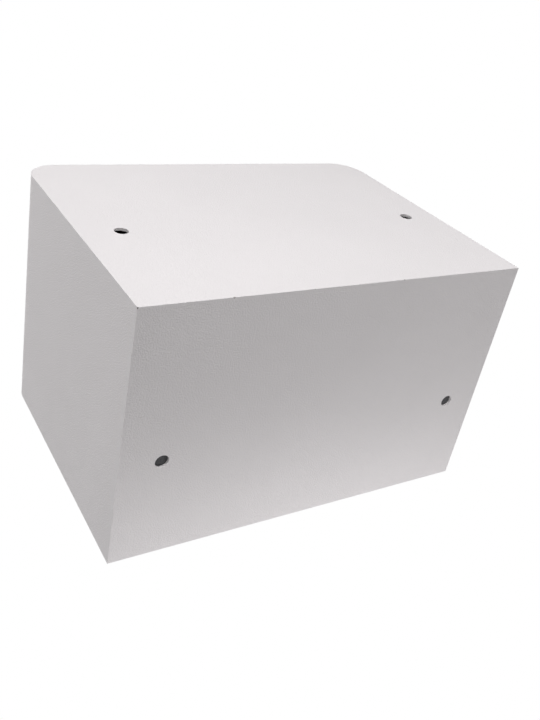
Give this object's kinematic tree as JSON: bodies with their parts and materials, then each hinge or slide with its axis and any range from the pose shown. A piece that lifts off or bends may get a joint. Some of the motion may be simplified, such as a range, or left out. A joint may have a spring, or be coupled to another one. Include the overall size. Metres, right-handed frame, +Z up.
{
  "type": "furniture safe",
  "caption": "Small light grey steel safe with rounded top edges, anchor holes in back and bottom, and a keypad door with sliding bolts.",
  "frame": {"origin": "middle of the safe's underside", "axes": "+Z up, the door faces -Y, +X to the right of someone facing the door"},
  "size_m": [0.31, 0.221, 0.2265],
  "materials": {
    "shell": "light grey powder coat with a fine grain",
    "liner": "thin light grey powder coat",
    "bare_steel": "zinc-plated sheet, satin",
    "bright_steel": "turned and plated, fine lay",
    "dark_screw": "black oxide",
    "mat": "dark grey needle felt",
    "fascia_plastic": "black ABS with a fine spark texture",
    "board": "green solder mask",
    "lens": "clear moulded lens",
    "ribbon": "grey flat lead",
    "brass": "machined",
    "coil": "taped winding",
    "cell": "wrapped cell, bare of print",
    "chrome": "satin chrome",
    "reset": "red moulding",
    "key": "dark silicone rubber"
  },
  "bodies": {
    "cabinet": {"body_wrap": "shell", "back_panel": "shell", "bottom_panel": "shell", "front_frame": "shell", "hinge_bracket_top": "bare_steel", "hinge_bracket_bottom": "bare_steel", "floor_mat": "mat"},
    "door": {"door_plate": "shell", "door_box": "liner", "hinge_blocks": "bare_steel", "hinge_pins": "bright_steel", "fascia": "fascia_plastic", "keypad_board": "board", "led_lenses": "lens", "lock_cover": "liner", "cover_posts": "bare_steel", "cover_screws": "bright_steel", "spindle_bush": "brass", "bush_nut": "bare_steel", "carrier_guides": "bare_steel", "solenoid_frame": "bare_steel", "solenoid_coil": "coil", "plunger_spring": "bright_steel", "control_board": "board", "buzzer": "fascia_plastic", "keypad_ribbon": "ribbon", "battery_tray": "fascia_plastic", "battery_contacts": "bright_steel", "batteries": "cell", "lock_barrel": "chrome", "barrel_nut": "bare_steel", "cap_rivet": "bright_steel"},
    "knob": {"knob": "chrome", "spindle": "bright_steel", "cam": "bare_steel"},
    "bolt_set": {"bolt_carrier": "bare_steel", "bolts": "bright_steel", "bolt_screws": "dark_screw"},
    "plunger": {"plunger": "bare_steel"},
    "keyhole_cap": {"keyhole_cap": "fascia_plastic"},
    "override_plug": {"lock_plug": "brass", "lock_lever": "bare_steel"},
    "battery_lid": {"battery_lid": "fascia_plastic"},
    "reset_button": {"reset_button": "reset"},
    "key_1": {"key_1": "key"},
    "key_2": {"key_2": "key"},
    "key_3": {"key_3": "key"},
    "key_4": {"key_4": "key"},
    "key_5": {"key_5": "key"},
    "key_6": {"key_6": "key"},
    "key_7": {"key_7": "key"},
    "key_8": {"key_8": "key"},
    "key_9": {"key_9": "key"},
    "key_left": {"key_left": "key"},
    "key_0": {"key_0": "key"},
    "key_right": {"key_right": "key"}
  },
  "joints": [
    {"name": "door_hinge", "type": "hinge", "parent": "cabinet", "child": "door", "pos_m": [0.115, -0.09125, 0.11325], "axis": [0, 0, 1], "range_deg": [0, 105]},
    {"name": "knob_turn", "type": "hinge", "parent": "door", "child": "knob", "pos_m": [-0.052, -0.10575, 0.11325], "axis": [0, -1, 0], "range_deg": [0, 90]},
    {"name": "bolt_slide", "type": "slide", "parent": "door", "child": "bolt_set", "axis": [-1, 0, 0], "range_m": [0, 0.01697]},
    {"name": "plunger_slide", "type": "slide", "parent": "door", "child": "plunger", "axis": [0, 0, -1], "range_m": [0, 0.008], "deforming": ["plunger_spring"]},
    {"name": "keyhole_cap_swivel", "type": "hinge", "parent": "door", "child": "keyhole_cap", "pos_m": [-0.008, -0.10575, 0.13625], "axis": [0, -1, 0], "range_deg": [0, 100]},
    {"name": "override_turn", "type": "hinge", "parent": "door", "child": "override_plug", "pos_m": [-0.008, -0.10575, 0.12125], "axis": [0, -1, 0], "range_deg": [-90, 0]},
    {"name": "battery_lid_slide", "type": "slide", "parent": "door", "child": "battery_lid", "axis": [-1, 0, 0], "range_m": [0, 0.008]},
    {"name": "reset_press", "type": "slide", "parent": "door", "child": "reset_button", "axis": [0, -1, 0], "range_m": [0, 0.0015], "stiffness_N_per_m": 400, "springref_m": -0.0005},
    {"name": "key_1_press", "type": "slide", "parent": "door", "child": "key_1", "axis": [0, 1, 0], "range_m": [0, 0.001], "stiffness_N_per_m": 600, "springref_m": -0.0005},
    {"name": "key_2_press", "type": "slide", "parent": "door", "child": "key_2", "axis": [0, 1, 0], "range_m": [0, 0.001], "stiffness_N_per_m": 600, "springref_m": -0.0005},
    {"name": "key_3_press", "type": "slide", "parent": "door", "child": "key_3", "axis": [0, 1, 0], "range_m": [0, 0.001], "stiffness_N_per_m": 600, "springref_m": -0.0005},
    {"name": "key_4_press", "type": "slide", "parent": "door", "child": "key_4", "axis": [0, 1, 0], "range_m": [0, 0.001], "stiffness_N_per_m": 600, "springref_m": -0.0005},
    {"name": "key_5_press", "type": "slide", "parent": "door", "child": "key_5", "axis": [0, 1, 0], "range_m": [0, 0.001], "stiffness_N_per_m": 600, "springref_m": -0.0005},
    {"name": "key_6_press", "type": "slide", "parent": "door", "child": "key_6", "axis": [0, 1, 0], "range_m": [0, 0.001], "stiffness_N_per_m": 600, "springref_m": -0.0005},
    {"name": "key_7_press", "type": "slide", "parent": "door", "child": "key_7", "axis": [0, 1, 0], "range_m": [0, 0.001], "stiffness_N_per_m": 600, "springref_m": -0.0005},
    {"name": "key_8_press", "type": "slide", "parent": "door", "child": "key_8", "axis": [0, 1, 0], "range_m": [0, 0.001], "stiffness_N_per_m": 600, "springref_m": -0.0005},
    {"name": "key_9_press", "type": "slide", "parent": "door", "child": "key_9", "axis": [0, 1, 0], "range_m": [0, 0.001], "stiffness_N_per_m": 600, "springref_m": -0.0005},
    {"name": "key_left_press", "type": "slide", "parent": "door", "child": "key_left", "axis": [0, 1, 0], "range_m": [0, 0.001], "stiffness_N_per_m": 600, "springref_m": -0.0005},
    {"name": "key_0_press", "type": "slide", "parent": "door", "child": "key_0", "axis": [0, 1, 0], "range_m": [0, 0.001], "stiffness_N_per_m": 600, "springref_m": -0.0005},
    {"name": "key_right_press", "type": "slide", "parent": "door", "child": "key_right", "axis": [0, 1, 0], "range_m": [0, 0.001], "stiffness_N_per_m": 600, "springref_m": -0.0005}
  ],
  "couplings": [
    {"joint": "knob_turn", "follows": "bolt_slide", "rad_per_m": 92.558},
    {"joint": "plunger_slide", "follows": "bolt_slide", "ratio": 0.47139}
  ]
}
